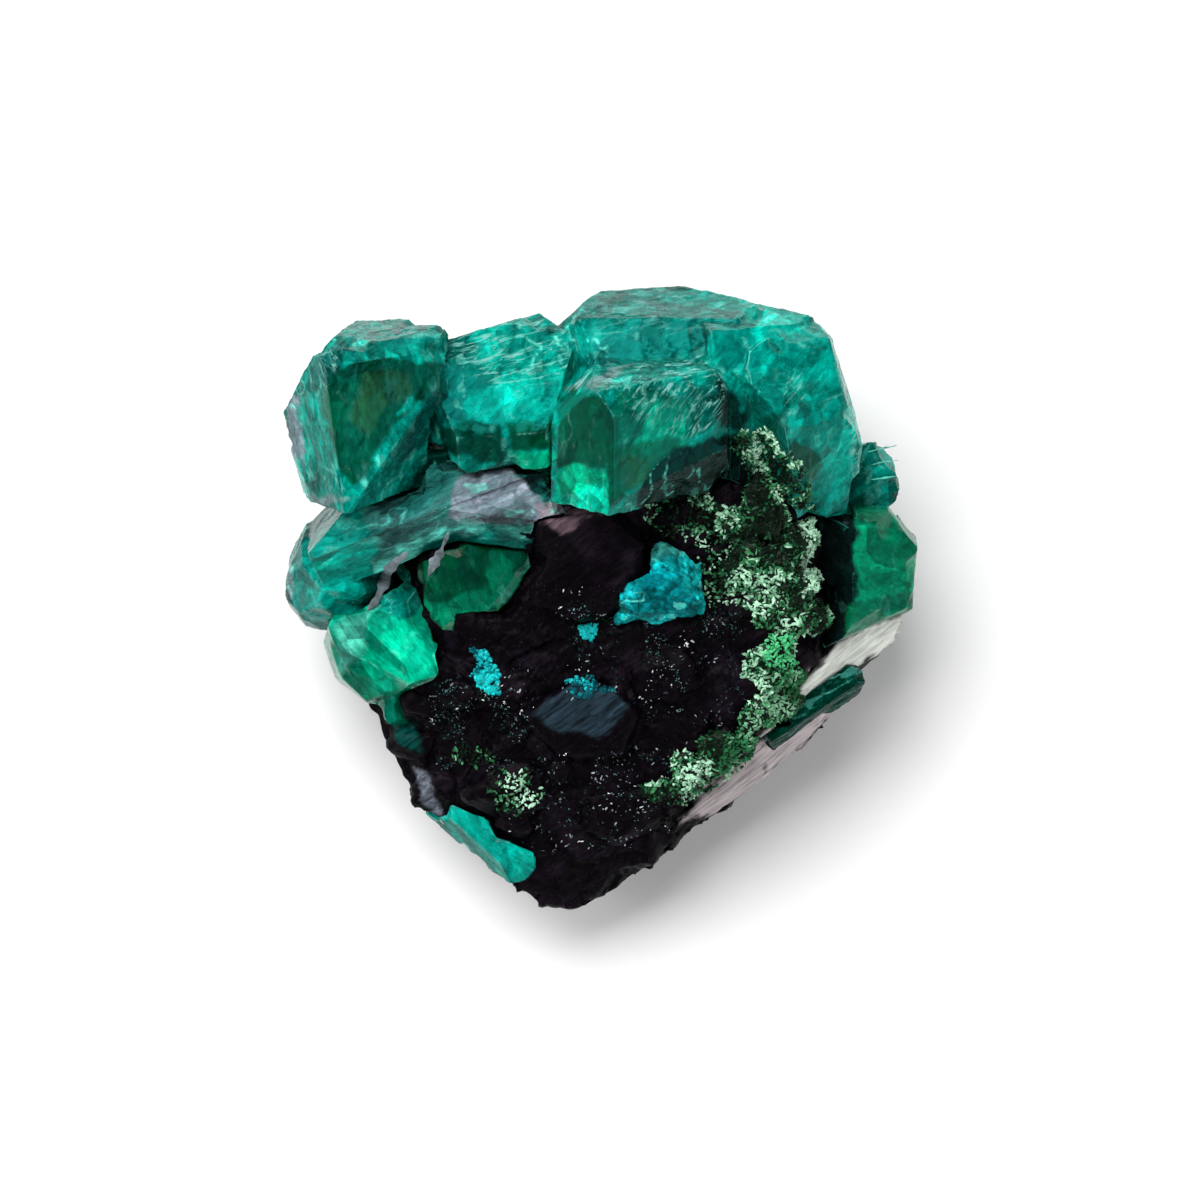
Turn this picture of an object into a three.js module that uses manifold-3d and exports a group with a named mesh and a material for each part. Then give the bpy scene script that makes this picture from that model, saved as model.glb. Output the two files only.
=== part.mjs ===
// Dioptase on matrix: a small mineral specimen of emerald-green crystals on dark rock.
// Units are millimetres. The specimen lies on its flat broken underside at z = 0, +Z is up, and the
// face that shows its crystals looks up. The pointed end of the rock points along -Y.
import * as THREE from "three";
import { ConvexGeometry } from "three/addons/geometries/ConvexGeometry.js";
import { mergeVertices } from "three/addons/utils/BufferGeometryUtils.js";
import Module from "manifold-3d";

const wasm = await Module();
wasm.setup();

// Driving dimensions
const gap = 0.3; // clearance between a crystal and the rock that carries it
const rhombTilt = 51; // degrees between a rhombohedron face's normal and the c axis of dioptase
const prismStep = 60; // degrees between neighbouring prism faces
const tipStep = 120; // degrees between the three faces of a tip
const sameCorner = 0.02; // corners nearer than this are one corner
const rockRoughness = 0.2; // share by which a rock lump's corners fall short of its radii
const weldDistance = 1e-3;
const goldenAngle = Math.PI * (3 - Math.sqrt(5)); // spreads points evenly over a disc or a ball

// A small even crystal, given by its half width and half length
function slim(at, axis, width, length) {
  const prism = Array(6).fill(width);
  const tip = Array(3).fill((width + length) / 2);
  return { at, axis, front: [0, 0, 1], prism, tip, tipTurn: 0, top: length, foot: length };
}

// Crystals, each in its cluster. at is the centre, axis the c axis, front the way its first prism
// face looks. prism, tip, top and foot are face distances from the centre: the mineral fixes the
// angles between faces, and only these distances differ. tipTurn turns the three tip faces round the
// c axis, and cuts are broken faces through a point.
const clusters = {
  dioptase_crown: [
    {
      at: [-5.6, 12, 12.5], axis: [-0.05, 0.85, 0.52], front: [0, 0, 1],
      prism: [5.6, 5.0, 3.8, 5, 4.0, 5.3], tip: [4.9, 5.4, 5.4], tipTurn: 0, top: 6, foot: 1.7,
      cuts: [{ through: [-6, 16.4, 12], facing: [-0.3, 1, 0] }],
    },
    {
      at: [-2.2, 12.6, 11.5], axis: [0.1, 0.85, 0.5], front: [0.2, 0, 1],
      prism: [4.6, 3.2, 3, 4, 3, 3.6], tip: [4.6, 4.4, 4.4], tipTurn: 0, top: 5, foot: 2,
      cuts: [{ through: [-3, 16.6, 12], facing: [0.25, 1, 0] }],
    },
    {
      at: [3.6, 14.6, 11.5], axis: [0, 0.9, 0.44], front: [0, 0, 1],
      prism: [7, 6.9, 5.2, 6, 4.6, 6.7], tip: [7.2, 5.8, 5], tipTurn: 0, top: 5, foot: 8,
      cuts: [
        { through: [3.4, 18.7, 12], facing: [-0.05, 1, 0] },
        { through: [8.4, 18.1, 12], facing: [0.2, 1, 0] },
        { through: [-1, 17.8, 12], facing: [-0.6, 1, 0] },
      ],
    },
    {
      at: [8.3, 13.2, 12.6], axis: [0.08, 0.9, 0.42], front: [-0.1, 0, 1],
      prism: [6.4, 4.4, 3.4, 4, 3.4, 3.8], tip: [6.6, 5.4, 4.8], tipTurn: 30, top: 5.4, foot: 5,
      cuts: [{ through: [9, 17.9, 12], facing: [0.25, 1, 0] }],
    },
    {
      at: [2.6, 9.5, 16.5], axis: [0, 0.93, 0.36], front: [0.42, 0, 0.91],
      prism: [5.2, 5.4, 5, 5, 5.1, 6.4], tip: [6.6, 4, 5.4], tipTurn: 0, top: 5.4, foot: 2.5,
      cuts: [{ through: [5.6, 7.6, 20], facing: [0.59, -0.81, 0.6] }],
    },
    {
      at: [11, 11, 12.5], axis: [0.2, 0.88, 0.42], front: [-0.34, 0, 0.94],
      prism: [7, 5.6, 4.8, 5, 5, 3.6], tip: [7, 6, 5.2], tipTurn: 40, top: 6.9, foot: 4.2,
      cuts: [
        { through: [11.6, 17.2, 12], facing: [0.32, 1, 0.05] },
        { through: [13.9, 16, 12], facing: [0.8, 0.7, 0.05] },
        { through: [15, 12.6, 12], facing: [1, 0.28, 0.05] },
        { through: [10.7, 9, 18], facing: [-0.79, -0.62, 0.6] },
      ],
    },
    slim([16, 7.6, 9.5], [0.75, 0.6, 0.3], 1.5, 2.1),
    slim([16.6, 6.7, 9], [0.8, 0.5, 0.3], 1.3, 1.6),
    slim([16.3, 5.8, 8.5], [0.8, 0.4, 0.3], 1.2, 1.8),
  ],
  dioptase_upper_left: [
    {
      at: [-13.8, 11, 12], axis: [-0.12, 0.95, 0.28], front: [0.1, 0, 1],
      prism: [7, 6.8, 4, 5, 3.2, 5.8], tip: [8.8, 5.2, 3.6], tipTurn: 0, top: 6.3, foot: 3.9,
      cuts: [
        { through: [-13, 16.8, 12], facing: [-0.04, 1, 0] },
        { through: [-12.3, 8.8, 18.6], facing: [0.72, -0.6, 0.5] },
        { through: [-17.9, 7.2, 12], facing: [-0.93, -0.36, 0.1] },
      ],
    },
  ],
  dioptase_left_ledge: [
    {
      at: [-8.8, 6.4, 12.5], axis: [0.93, 0.36, 0.1], front: [-0.1, 0.15, 1],
      prism: [3, 2.6, 2.4, 4, 3.4, 3.4], tip: [8.4, 8, 8], tipTurn: 0, top: 6.6, foot: 9,
      cuts: [{ through: [-16.2, 5, 12], facing: [-0.7, 0.6, 0.2] }],
    },
    {
      at: [-5.4, 6.3, 12.6], axis: [0.97, -0.12, 0.1], front: [-0.1, 0.1, 1],
      prism: [3.2, 3, 2.4, 3, 3, 3.6], tip: [4.6, 4.6, 4.6], tipTurn: 0, top: 4.6, foot: 3.4,
    },
    {
      at: [-15.4, 1.4, 8.5], axis: [-0.75, -0.2, 0.6], front: [0.5, 0.3, 0.7],
      prism: [3.4, 3.4, 3.2, 3.2, 3.2, 3.4], tip: [3.4, 3.2, 3.2], tipTurn: 30, top: 3.4, foot: 5,
      cuts: [
        { through: [-17.9, -1.2, 8], facing: [-0.75, -0.65, 0.1] },
        { through: [-18.6, 2.4, 8], facing: [-0.9, 0.4, 0.1] },
      ],
    },
  ],
  dioptase_lower_left: [
    {
      at: [-12.6, -2.4, 9], axis: [-0.35, -0.6, 0.72], front: [0.6, 0.2, 0.7],
      prism: [3.8, 3.6, 3.4, 3.4, 3.4, 3.8], tip: [3.6, 3.6, 3.6], tipTurn: 30, top: 4, foot: 4,
      cuts: [{ through: [-14.6, -5.8, 8], facing: [-0.68, -0.73, 0.1] }],
    },
    slim([-11.4, 0.8, 9.4], [0.3, 0.9, 0.2], 1.6, 2.4),
    slim([-12, -5.2, 8.4], [0.3, -0.85, 0.3], 1.7, 2.3),
  ],
  dioptase_inner: [
    {
      at: [-7.2, 1.4, 10], axis: [0.15, -0.25, 0.95], front: [1, 0, 0],
      prism: [3.5, 3.4, 3.4, 3.6, 3.4, 3.4], tip: [4.4, 4.4, 4.4], tipTurn: 30, top: 3, foot: 3,
    },
  ],
  dioptase_center: [
    {
      at: [3.6, 1.6, 13.4], axis: [0.1, -0.3, 0.95], front: [1, 0, 0],
      prism: [2.4, 2.3, 2.2, 2.5, 2.4, 2.2], tip: [3, 3, 3], tipTurn: 30, top: 2.9, foot: 2,
    },
    slim([2, 0.4, 13.2], [-0.3, -0.5, 0.8], 1.3, 2),
    slim([5, 0.6, 13], [0.4, -0.4, 0.8], 1.4, 2),
    slim([5.2, 2.7, 13.2], [0.4, 0.4, 0.8], 1.3, 2),
  ],
  dioptase_right: [
    {
      at: [15, 1.2, 8.5], axis: [0.05, 0.98, 0.2], front: [0.5, 0, 0.87],
      prism: [4.1, 4.14, 3.4, 4, 3, 3.8], tip: [6.6, 4.6, 4.6], tipTurn: 0, top: 5, foot: 7,
      cuts: [
        { through: [15.9, -2, 8], facing: [0.44, -0.9, 0.06] },
        { through: [18.4, 4.9, 8], facing: [0.8, 0.6, 0.1] },
      ],
    },
  ],
  dioptase_splinter: [slim([13.2, -6, 8.9], [0.82, 0.56, -0.13], 1, 3.9)],
  dioptase_foot: [
    {
      at: [-6.9, -13.9, 6.5], axis: [0.73, -0.66, 0.15], front: [0, 0, 1],
      prism: [1.6, 1.4, 1.3, 1.5, 1.3, 1.4], tip: [2.8, 2.8, 2.8], tipTurn: 0, top: 4, foot: 3.4,
    },
  ],
};

// The rock: convex blocks given by their corners, lumps given by their radii, and pits cut into both
const blocks = [
  [
    [-12, 10, 0], [10, 11, 0], [13, 2, 0], [9, -8, 0], [-1, -14, 0], [-8, -10, 0], [-12, 0, 0],
    [-14, 9, 7], [-9, 12, 7], [8, 14, 7], [15, 9, 7], [16.5, 2, 7], [16, -3.5, 6.5], [12, -8.5, 6],
    [6, -13.5, 6], [-0.4, -17.9, 6], [-1.2, -18.7, 5.6], [-3.2, -18.3, 5.6], [-4.2, -17.3, 6],
    [-8, -14.5, 6.5], [-11.2, -11.2, 7], [-11.5, -9, 7], [-14, -5, 7], [-15.5, 1, 7],
    [-8, 4, 14], [0, 7, 16], [8, 8, 16.5], [12, 0, 14], [8, -8, 11.5], [0, -13, 9.5], [-7, -9, 10],
    [-9, -2, 12],
  ],
  [
    [-3.6, 0.2, 15.2], [-3.4, 4.6, 16], [0.6, 5.2, 17.4], [2.6, 3.3, 17], [0.8, 0, 15.8],
    [-1.5, -1, 14.8], [-4, 0, 10], [-4, 5, 10], [3, 5, 10], [3, -1, 10],
  ],
  [
    [-3.9, -6.8, 12.8], [-1.5, -5.3, 13.4], [1, -5.5, 13.4], [2.4, -7, 12.9], [1.2, -8.9, 12],
    [-2.2, -9.1, 11.9], [-4.4, -6, 9], [3, -6, 9], [2, -10, 9], [-3, -10, 9],
  ],
  [
    [14.6, -1.6, 10.2], [14.2, -2.9, 10.2], [11.9, -5.6, 10.4], [10.2, -7, 10.2], [18.3, -0.9, 7.8],
    [17.9, -2, 7.6], [15.6, -3.6, 8.4], [14, -5.2, 8.6], [11.7, -6.9, 8.8], [17, -3, 5],
    [12.5, -7.6, 5.5], [9.2, -9.2, 8],
  ],
  [
    [13.4, -6.6, 7.4], [9.8, -8.2, 8.8], [7.2, -10.8, 8.4], [5.4, -12.9, 8], [15.3, -5.2, 6],
    [12.9, -8, 5.8], [9.8, -10.7, 6], [7.1, -12.6, 6], [1.5, -16, 5.6], [2, -16.4, 4.5],
    [8, -12.2, 3.6], [13, -8, 3.6],
  ],
];
const lumps = [
  { at: [9, 6, 13.6], radii: [3.6, 2.8, 3], corners: 18, seed: 3 },
  { at: [10.9, 3, 12], radii: [2.8, 3.6, 3.2], corners: 18, seed: 4 },
  { at: [11, -2, 10.5], radii: [2.9, 3.8, 3.2], corners: 18, seed: 5 },
  { at: [8.5, -6, 9.6], radii: [3.6, 3, 3], corners: 18, seed: 6 },
  { at: [-10.6, -8.4, 7.4], radii: [2.4, 2.2, 2.4], corners: 12, seed: 7 },
  { at: [-9.6, -11, 6.6], radii: [2.2, 2, 2.2], corners: 12, seed: 8 },
  { at: [-5, -11, 8.8], radii: [3.4, 2.8, 2.2], corners: 16, seed: 9 },
  { at: [1.5, -12, 8], radii: [3.8, 2.8, 2.4], corners: 16, seed: 10 },
  { at: [-8.4, -4.8, 10], radii: [3, 2.4, 2.6], corners: 16, seed: 15 },
  { at: [4.4, -4, 11.6], radii: [3.4, 2.8, 2.4], corners: 16, seed: 16 },
  { at: [-11, 5, 4.2], radii: [3.2, 3.6, 3], corners: 16, seed: 21 },
  { at: [-6.5, 10.6, 4.4], radii: [4, 2.6, 3.2], corners: 16, seed: 22 },
  { at: [1.5, 12.4, 4.2], radii: [4.4, 2.4, 3.2], corners: 16, seed: 23 },
  { at: [8.6, 11, 4.4], radii: [3.8, 3, 3.4], corners: 16, seed: 24 },
  { at: [13.2, 4.4, 4.2], radii: [2.6, 3.6, 3], corners: 16, seed: 25 },
  { at: [12.2, -3.4, 3.8], radii: [2.8, 3.4, 2.8], corners: 16, seed: 26 },
  { at: [6, -10, 3.4], radii: [3.6, 2.8, 2.8], corners: 16, seed: 27 },
  { at: [-3.4, -12.8, 3.6], radii: [3.2, 2.6, 2.6], corners: 16, seed: 28 },
  { at: [-9.2, -6.4, 4], radii: [2.8, 3.2, 2.8], corners: 16, seed: 29 },
];
const pits = [
  { at: [-7, 1.4, 15.2], radii: [5, 4.8, 5], corners: 18, seed: 11 },
  { at: [6.8, 7.6, 18], radii: [2.6, 2, 3.4], corners: 12, seed: 12 },
  { at: [9.4, 5.2, 17.4], radii: [1.3, 1.2, 2], corners: 10, seed: 13 },
  { at: [7.2, 3.6, 17], radii: [1.2, 1.2, 1.8], corners: 10, seed: 14 },
  { at: [-4.6, -3.6, 14.6], radii: [2, 2.4, 2.4], corners: 12, seed: 17 },
];

// Grains spread evenly over oval patches, each seated on the rock's upper side: the small knobs of
// the rock itself, and the malachite crust
const knobs = {
  patches: [
    { at: [-1.2, -12.2], radii: [4.8, 3.8], turn: 0, grains: 7 },
    { at: [5.8, -4], radii: [4, 4], turn: 0, grains: 5 },
    { at: [-8.6, -7], radii: [2.4, 3.6], turn: 10, grains: 4 },
    { at: [8.6, 2], radii: [3, 6], turn: 8, grains: 4 },
  ],
  smallest: 1.8, largest: 3.4, sink: 0.8, corners: 11, seed: 100,
};
const crustGrains = {
  patches: [
    { at: [8.8, 7.2], radii: [3.2, 2.6], turn: 0, grains: 16 },
    { at: [10.6, 2], radii: [2.2, 4.6], turn: 10, grains: 20 },
    { at: [10.5, -4.6], radii: [1, 2.8], turn: -15, grains: 10 },
    { at: [6.4, -9.3], radii: [4.4, 0.7], turn: 36, grains: 11 },
  ],
  smallest: 1.2, largest: 1.9, sink: 0.2, corners: 12, seed: 400,
};
const skyHeight = 60; // well above the specimen

// A repeatable stream of numbers from 0 to 1
function randomStream(seed) {
  let state = seed;
  return () => {
    state = (state * 1664525 + 1013904223) >>> 0;
    return state / 2 ** 32;
  };
}

// A closed geometry as a solid that can be joined and cut
function solidOf(geometry) {
  const bare = geometry.clone();
  bare.deleteAttribute("normal");
  bare.deleteAttribute("uv");
  const welded = mergeVertices(bare, weldDistance);
  return new wasm.Manifold(
    new wasm.Mesh({
      numProp: 3,
      vertProperties: welded.getAttribute("position").array,
      triVerts: new Uint32Array(welded.index.array),
    }),
  );
}

// A solid back as a geometry with flat faces
function geometryOf(solid) {
  const mesh = solid.getMesh();
  const geometry = new THREE.BufferGeometry();
  geometry.setAttribute("position", new THREE.BufferAttribute(mesh.vertProperties, 3));
  geometry.setIndex(new THREE.BufferAttribute(mesh.triVerts, 1));
  const flat = geometry.toNonIndexed();
  flat.computeVertexNormals();
  return flat;
}

function joined(solids) {
  return solids.reduce((whole, solid) => whole.add(solid));
}

function largestBody(solid) {
  return solid.decompose().reduce((best, body) => (body.volume() > best.volume() ? body : best));
}

// The convex solid around some points
function hull(points) {
  const distinct = [];
  for (const point of points) {
    if (distinct.every((other) => other.distanceTo(point) > sameCorner)) distinct.push(point);
  }
  return solidOf(new ConvexGeometry(distinct));
}

// The corners where three of the planes meet and that lie inside all the others
function cornersInside(planes) {
  const corners = [];
  planes.forEach((a, i) => {
    planes.slice(i + 1).forEach((b, j) => {
      planes.slice(i + j + 2).forEach((c) => {
        const bc = new THREE.Vector3().crossVectors(b.normal, c.normal);
        const volume = a.normal.dot(bc);
        if (Math.abs(volume) < 1e-6) return;
        const corner = bc
          .multiplyScalar(a.distance)
          .addScaledVector(new THREE.Vector3().crossVectors(c.normal, a.normal), b.distance)
          .addScaledVector(new THREE.Vector3().crossVectors(a.normal, b.normal), c.distance)
          .divideScalar(volume);
        if (planes.every((plane) => plane.normal.dot(corner) <= plane.distance + 1e-6)) {
          corners.push(corner);
        }
      });
    });
  });
  return corners;
}

// A hexagonal prism along the c axis, closed by the three faces of a rhombohedron and a flat foot
function crystal({ at, axis, front, prism, tip, tipTurn, top, foot, cuts = [] }, grow = 0) {
  const centre = new THREE.Vector3(...at);
  const cAxis = new THREE.Vector3(...axis).normalize();
  const firstFace = new THREE.Vector3(...front).projectOnPlane(cAxis).normalize();
  const around = (degrees) =>
    firstFace.clone().applyAxisAngle(cAxis, THREE.MathUtils.degToRad(degrees));
  const tilt = THREE.MathUtils.degToRad(rhombTilt);
  const planes = [
    ...prism.map((distance, i) => ({ normal: around(i * prismStep), distance })),
    ...tip.map((distance, i) => ({
      normal: around(tipTurn + i * tipStep)
        .multiplyScalar(Math.sin(tilt))
        .addScaledVector(cAxis, Math.cos(tilt)),
      distance,
    })),
    { normal: cAxis.clone(), distance: top },
    { normal: cAxis.clone().negate(), distance: foot },
    ...cuts.map(({ through, facing }) => {
      const normal = new THREE.Vector3(...facing).normalize();
      return { normal, distance: normal.dot(new THREE.Vector3(...through).sub(centre)) };
    }),
  ];
  const grown = planes.map(({ normal, distance }) => ({ normal, distance: distance + grow }));
  return hull(cornersInside(grown).map((corner) => corner.add(centre)));
}

// A block of rock, or with grow the block and a margin round it
function block(corners, grow = 0) {
  const reach = [
    [1, 0, 0], [-1, 0, 0], [0, 1, 0], [0, -1, 0], [0, 0, 1], [0, 0, -1],
  ].map((way) => new THREE.Vector3(...way).multiplyScalar(grow));
  const points = corners.map((corner) => new THREE.Vector3(...corner));
  if (!grow) return hull(points);
  return hull(points.flatMap((point) => reach.map((way) => point.clone().add(way))));
}

// A lump with flat broken faces: points spread over an ellipsoid, each drawn in by chance
function lump({ at, radii, corners, seed }, grow = 0) {
  const random = randomStream(seed);
  const points = Array.from({ length: corners }, (_, i) => {
    const height = 1 - (2 * i + 1) / corners;
    const turn = i * goldenAngle + random();
    const ring = Math.sqrt(1 - height * height);
    const reach = 1 - rockRoughness * random();
    return new THREE.Vector3(ring * Math.cos(turn), ring * Math.sin(turn), height)
      .multiplyScalar(reach)
      .multiply(new THREE.Vector3(...radii.map((radius) => radius + grow)))
      .add(new THREE.Vector3(...at));
  });
  return hull(points);
}

// Lumps over oval patches, each sunk by a share of its size where a plumb line meets the surface
function scattered({ patches, smallest, largest, sink, corners, seed }, surface) {
  const target = new THREE.Mesh(geometryOf(surface));
  const plumb = new THREE.Raycaster();
  const down = new THREE.Vector3(0, 0, -1);
  const random = randomStream(seed);
  return patches.flatMap(({ at, radii, turn, grains }) =>
    Array.from({ length: grains }, (_, i) => {
      const spread = Math.sqrt((i + 0.5) / grains);
      const place = new THREE.Vector2(
        radii[0] * spread * Math.cos(i * goldenAngle),
        radii[1] * spread * Math.sin(i * goldenAngle),
      )
        .rotateAround(new THREE.Vector2(), THREE.MathUtils.degToRad(turn))
        .add(new THREE.Vector2(...at));
      const size = THREE.MathUtils.lerp(smallest, largest, random());
      plumb.set(new THREE.Vector3(place.x, place.y, skyHeight), down);
      return { hits: plumb.intersectObject(target), size, seed: seed + i };
    })
      .filter(({ hits }) => hits.length)
      .map(({ hits, size, seed: own }) => {
        const { x, y, z } = hits[0].point;
        return { at: [x, y, z - sink * size], radii: [size, size, size], corners, seed: own };
      }),
  );
}

// The rock from its blocks and lumps, or with grow the rock and a margin round it
function rock(shapes, grow = 0) {
  const body = joined([
    ...blocks.map((corners) => block(corners, grow)),
    ...shapes.map((shape) => lump(shape, grow)),
  ]);
  return pits.reduce((left, pit) => left.subtract(lump(pit, -grow)), body);
}

function colour(color, roughness) {
  return new THREE.MeshStandardMaterial({ color, roughness, metalness: 0 });
}
const rockColour = colour(0x14121a, 0.55);
const malachiteColour = colour(0x5fae83, 0.7);
const dioptaseColour = colour(0x0a8f73, 0.2);

const specimen = new THREE.Group();

function addNode(name, solid, material) {
  const mesh = new THREE.Mesh(geometryOf(largestBody(solid)), material);
  mesh.name = name;
  specimen.add(mesh);
}

const rockShapes = [...lumps, ...scattered(knobs, rock(lumps))];
const matrix = rock(rockShapes);
addNode("matrix", matrix, rockColour);

// Each cluster is cut back from the rock and from the clusters before it, and the crust from them all
let taken = rock(rockShapes, gap);
for (const [name, crystals] of Object.entries(clusters)) {
  const cluster = joined(crystals.map((one) => crystal(one)));
  addNode(name, cluster.subtract(taken), dioptaseColour);
  taken = joined([taken, ...crystals.map((one) => crystal(one, gap))]);
}
const grains = scattered(crustGrains, matrix).map((shape) => lump(shape));
addNode("malachite_crust", joined(grains).subtract(taken), malachiteColour);

// The origin is under the middle of the specimen, on the surface that it lies on
const extent = new THREE.Box3().setFromObject(specimen);
const middle = extent.getCenter(new THREE.Vector3());
specimen.position.set(-middle.x, -middle.y, -extent.min.z);

export default specimen;
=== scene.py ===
import math

import bpy
import numpy as np
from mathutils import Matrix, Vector


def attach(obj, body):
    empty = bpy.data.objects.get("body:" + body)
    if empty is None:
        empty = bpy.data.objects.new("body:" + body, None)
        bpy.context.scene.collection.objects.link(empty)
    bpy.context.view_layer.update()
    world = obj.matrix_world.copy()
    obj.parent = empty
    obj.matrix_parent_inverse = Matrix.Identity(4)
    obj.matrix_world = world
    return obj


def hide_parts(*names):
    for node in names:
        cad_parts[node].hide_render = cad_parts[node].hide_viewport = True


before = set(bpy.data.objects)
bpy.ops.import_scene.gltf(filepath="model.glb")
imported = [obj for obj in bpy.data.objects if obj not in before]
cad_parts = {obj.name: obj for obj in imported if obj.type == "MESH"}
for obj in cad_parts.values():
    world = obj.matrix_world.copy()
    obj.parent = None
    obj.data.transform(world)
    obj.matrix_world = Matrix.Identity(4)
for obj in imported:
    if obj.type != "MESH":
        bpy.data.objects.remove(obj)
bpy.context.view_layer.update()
millimetre = 0.001


# a pixel of the picture as millimetres on the specimen, seen from straight above
pictureScale = {"middleX": 600.5, "middleY": 601, "mmPerPixel": 0.06}


def fromPicture(pixels):
    spots = np.array(pixels, float)
    x = (spots[:, 0] - pictureScale["middleX"]) * pictureScale["mmPerPixel"]
    y = (pictureScale["middleY"] - spots[:, 1]) * pictureScale["mmPerPixel"]
    return np.stack([x, y], 1)


# a colour written as six hex digits, turned into linear light
def tint(hexDigits):
    parts = np.array([int(hexDigits[i:i + 2], 16) / 255 for i in (0, 2, 4)])
    return np.where(parts <= 0.04045, parts / 12.92, ((parts + 0.055) / 1.055) ** 2.4)


# 0 below low, 1 above high, an S curve between them
def ramp(value, low, high):
    t = np.clip((value - low) / (high - low), 0, 1)
    return t * t * (3 - 2 * t)


# a share of the way from the first value to the second
def blend(first, second, share):
    return first * (1 - share) + second * share


# vectors at a length of one
def unit(vectors):
    return vectors / np.maximum(np.linalg.norm(vectors, axis=1, keepdims=True), 1e-12)


# a repeatable number from 0 to 1 for each whole-number cell of space
def cellNumber(cells, seed):
    c = cells.astype(np.int64).astype(np.uint32)
    n = c[..., 0] * np.uint32(374761393) + c[..., 1] * np.uint32(668265263)
    n = n + c[..., 2] * np.uint32(2246822519) + np.uint32((seed * 3266489917) % 2 ** 32)
    n = (n ^ (n >> np.uint32(15))) * np.uint32(2246822519)
    n = (n ^ (n >> np.uint32(13))) * np.uint32(3266489917)
    n = n ^ (n >> np.uint32(16))
    return n.astype(np.float64) / 2 ** 32


# smooth noise from -1 to 1: numbers at the corners of cells of the given size, blended by S curves
def softNoise(points, size, seed):
    p = points / size
    cell = np.floor(p)
    t = p - cell
    t = t * t * (3 - 2 * t)
    total = np.zeros(len(points))
    for corner in np.ndindex(2, 2, 2):
        share = np.prod(np.where(np.array(corner), t, 1 - t), axis=1)
        total += share * cellNumber(cell + np.array(corner), seed)
    return 2 * total - 1


softSpan = (-0.3, 0.3)  # most of a layered noise lies between these


# several layers of soft noise, each half the size and half the strength of the one before
def layeredNoise(points, size, seed, layers=4):
    return sum(softNoise(points, size / 2 ** k, seed + k) / 2 ** k for k in range(layers)) / 2


# the nearest of the points scattered one to a cell: how near it is, the way from it, and three random
# numbers that belong to it
def nearestGrain(points, size, seed):
    p = points / size
    cell = np.floor(p)
    nearest = np.full(len(p), np.inf)
    way = np.zeros((len(p), 3))
    own = np.zeros((len(p), 3))
    for step in np.ndindex(3, 3, 3):
        near = cell + (np.array(step) - 1)
        place = near + np.stack([cellNumber(near, seed + k) for k in range(3)], 1)
        offset = p - place
        distance = np.linalg.norm(offset, axis=1)
        closer = distance < nearest
        nearest = np.where(closer, distance, nearest)
        way[closer] = offset[closer]
        own[closer] = np.stack([cellNumber(near[closer], seed + 3 + k) for k in range(3)], 1)
    return nearest, way * size, own


# flat plates round scattered points, each with its own tilt: the lift at each point, and its plate's numbers
def tiltedPlates(points, size, seed):
    _, way, own = nearestGrain(points, size, seed)
    return np.sum(way * (own - 0.5), axis=1), own


# a CAD node's corners in millimetres, merged, and its triangles
def readNode(name):
    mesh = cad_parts[name].data
    mesh.calc_loop_triangles()
    points = np.empty(len(mesh.vertices) * 3, np.float32)
    mesh.vertices.foreach_get("co", points)
    corners = np.empty(len(mesh.loop_triangles) * 3, np.int32)
    mesh.loop_triangles.foreach_get("vertices", corners)
    points = points.reshape(-1, 3) / millimetre
    merged, index = np.unique(np.round(points, 3), axis=0, return_inverse=True)
    triangles = index.reshape(-1)[corners.reshape(-1, 3)]
    a, b, c = triangles.T
    return merged.astype(np.float64), triangles[(a != b) & (b != c) & (c != a)]


# each triangle's normal, as long as twice its area
def faceNormals(points, triangles):
    a, b, c = (points[triangles[:, k]] for k in range(3))
    return np.cross(b - a, c - a)


# edges between faces that look down further than this may be longer
underside = {"facing": -0.15, "edgeScale": 2.2}


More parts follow.
